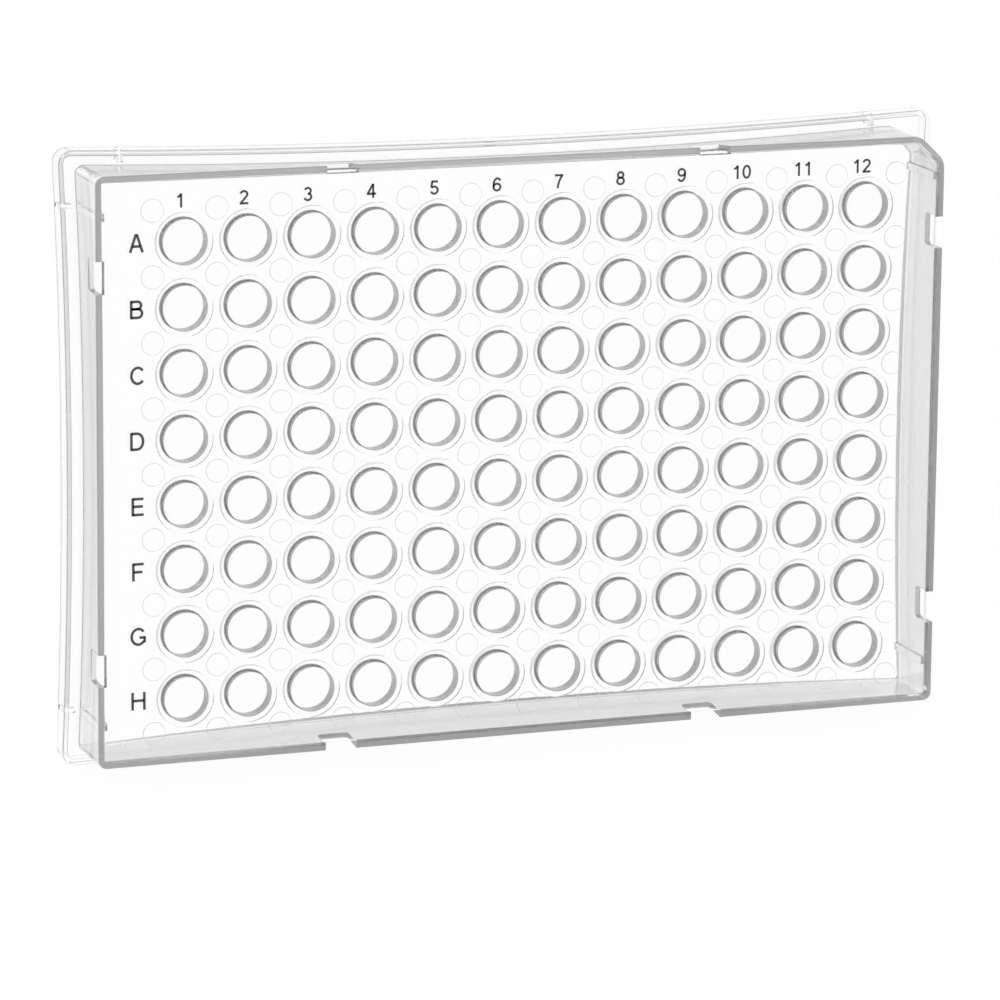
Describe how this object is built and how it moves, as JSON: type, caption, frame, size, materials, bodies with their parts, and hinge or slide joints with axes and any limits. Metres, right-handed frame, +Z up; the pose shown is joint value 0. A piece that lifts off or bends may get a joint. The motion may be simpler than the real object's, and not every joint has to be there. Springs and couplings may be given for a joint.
{
  "type": "well plate",
  "caption": "Clear flat-decked well plate on a bowed, flanged skirt, with a grid of open collared wells, edge notches and one cut corner.",
  "frame": {"origin": "middle of the footprint, on the surface that the plate stands on", "axes": "+X along the numbered columns, +Y towards the lettered row A, +Z up out of the deck"},
  "size_m": [0.1278, 0.0854, 0.0143],
  "materials": {
    "clear_plastic": "polished clear, injection moulded"
  },
  "bodies": {
    "root": {"well_plate": "clear_plastic"}
  },
  "joints": []
}
